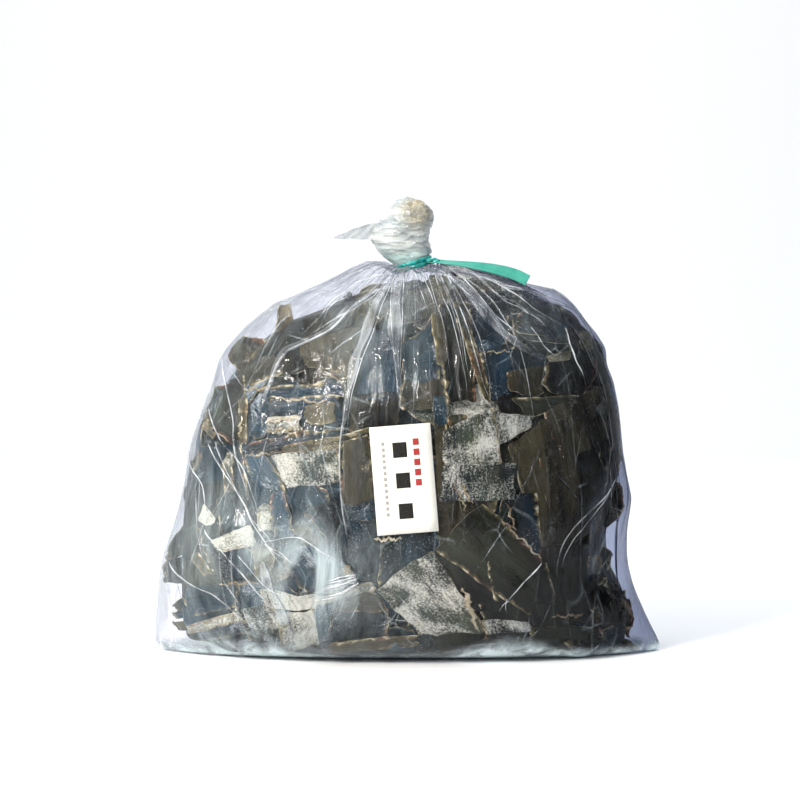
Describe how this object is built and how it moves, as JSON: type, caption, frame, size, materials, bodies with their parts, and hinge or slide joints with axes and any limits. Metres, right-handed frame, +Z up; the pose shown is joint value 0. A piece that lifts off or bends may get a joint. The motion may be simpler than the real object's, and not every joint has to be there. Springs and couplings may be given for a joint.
{
  "type": "tied clear bag of dried kelp sheets",
  "caption": "Clear film bag packed with cut dried kelp, gathered and closed by a flat vinyl tie under a film top-knot, with a small paper label on its front.",
  "frame": {"origin": "on the floor, under the middle of the bag's outline", "axes": "+Z up along the bag to its top-knot, +X to the right along the bag's broad side, -Y out of the face that carries the label"},
  "size_m": [0.4638, 0.2232, 0.4095],
  "materials": {
    "film": "clear polythene film stretched over dark dried kelp",
    "kelp": "dried kelp, leathery dark green to blue-black with pale salt bloom",
    "tie": "flat teal vinyl tape, satin",
    "label": "uncoated white card with simple printed shapes"
  },
  "bodies": {
    "root": {"bag": "film", "tie": "tie", "label": "label"}
  },
  "joints": []
}
